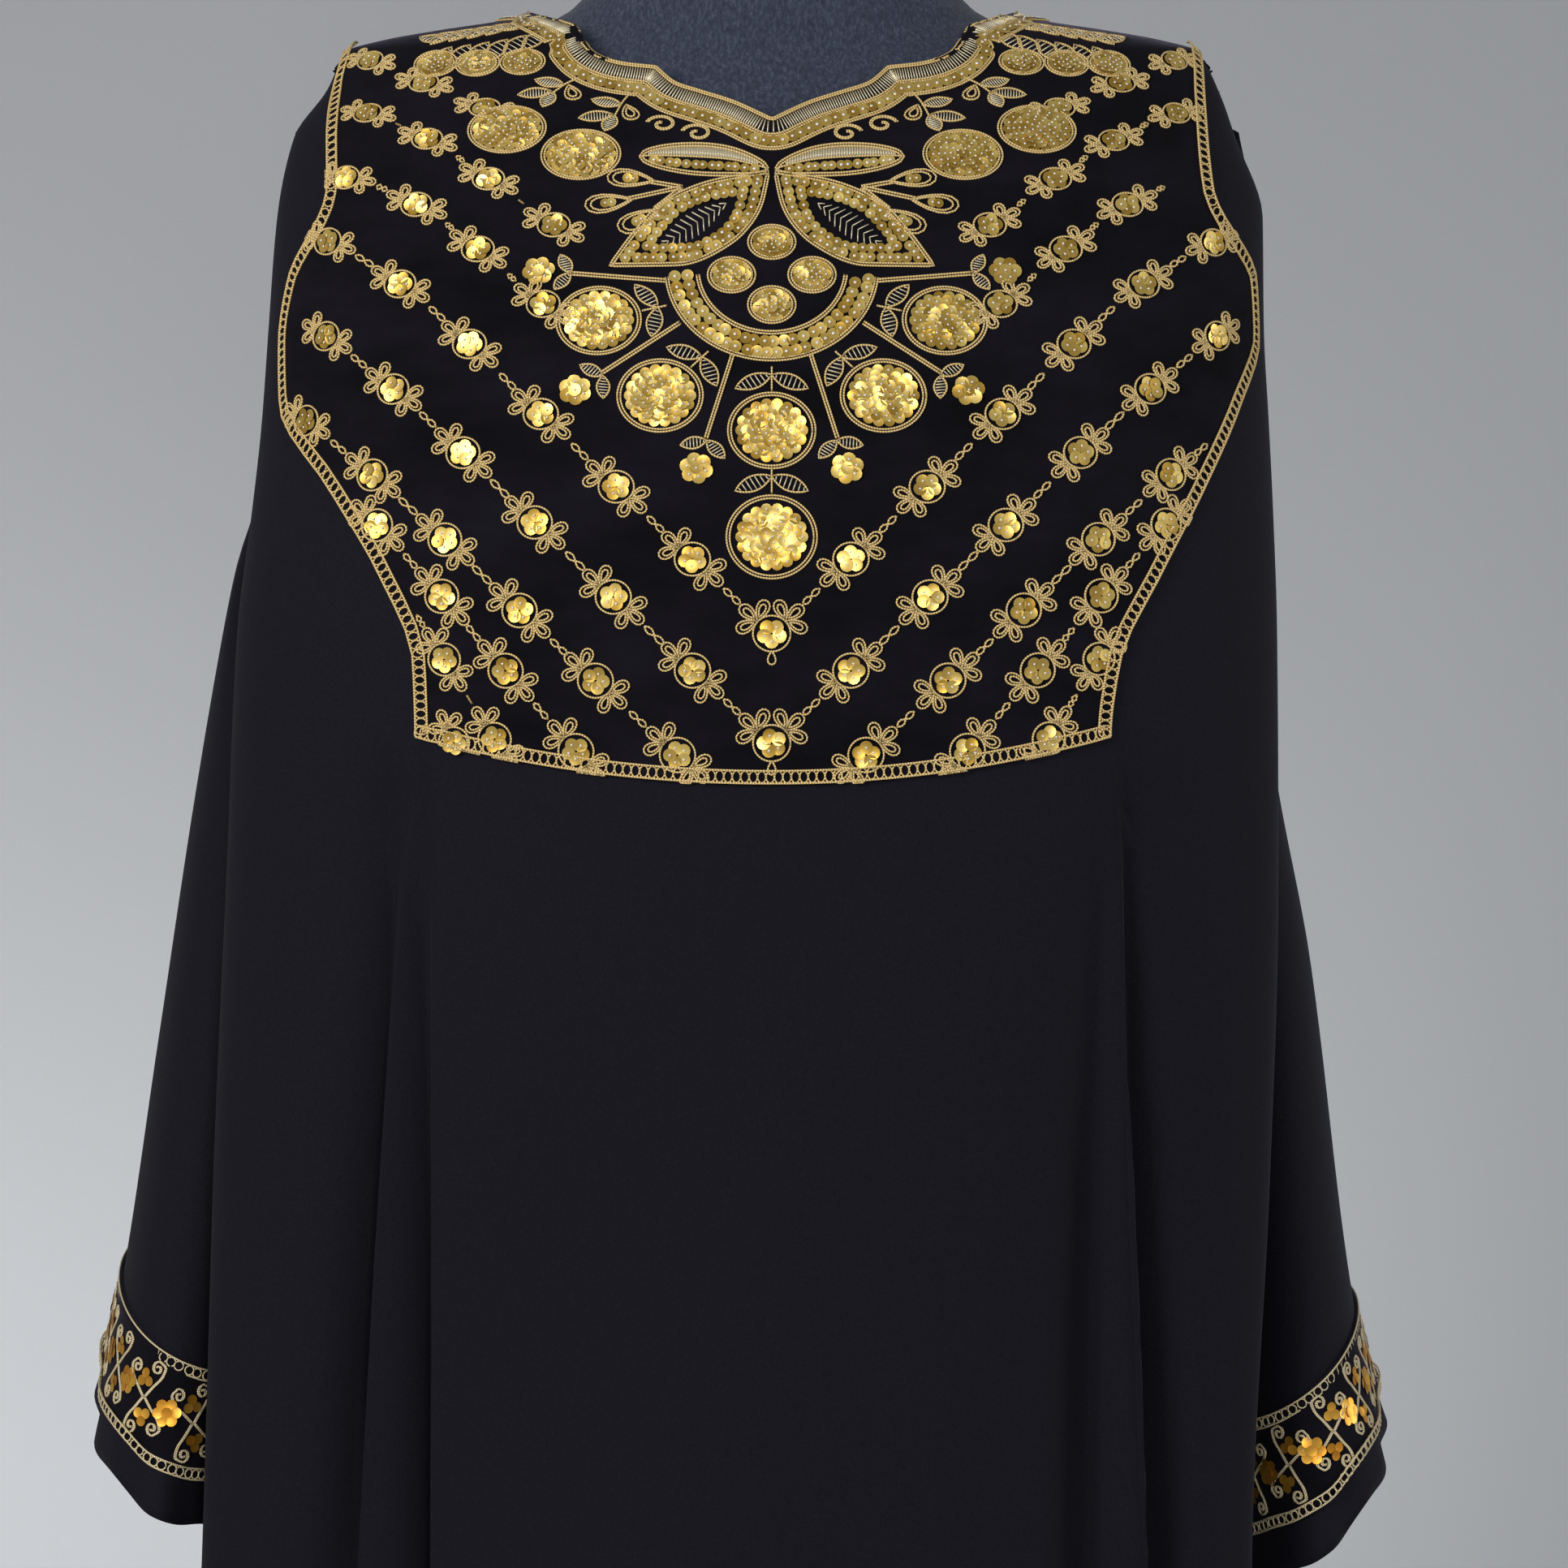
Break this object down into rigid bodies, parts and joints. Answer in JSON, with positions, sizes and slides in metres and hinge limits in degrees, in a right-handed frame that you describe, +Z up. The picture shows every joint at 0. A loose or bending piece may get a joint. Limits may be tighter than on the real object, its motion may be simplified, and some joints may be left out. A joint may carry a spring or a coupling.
{
  "type": "black abaya cloak on limbless dress form",
  "caption": "Closed-front wide abaya with embroidered velvet chest panel, V neckline and open banded sleeves, on a limbless dress form with pole stand.",
  "frame": {"origin": "on the floor, under the middle of the whole outline seen from above", "axes": "+Z up, -Y out of the front of the garment, +X to the right in the picture"},
  "size_m": [0.609, 0.356, 1.566],
  "materials": {
    "black_crepe": "soft crepe weave with a faint sheen",
    "black_velvet": "short velvet pile",
    "gold_cord": "twisted metallic cord",
    "pale_gold_thread": "pale metallic embroidery on black cloth",
    "blue_grey_jersey": "heathered jersey cover",
    "stand_steel": "satin dark grey",
    "neck_cap_wood": "satin"
  },
  "bodies": {
    "root": {"front": "black_crepe", "back": "black_crepe", "sleeve_left": "black_crepe", "sleeve_right": "black_crepe", "chest_panel": "black_velvet", "panel_braid": "gold_cord", "neck_trim": "gold_cord", "cuff_band_left": "pale_gold_thread", "cuff_band_right": "pale_gold_thread", "form_torso": "blue_grey_jersey", "neck_cap": "neck_cap_wood", "stand_pole": "stand_steel", "stand_base": "stand_steel"}
  },
  "joints": []
}
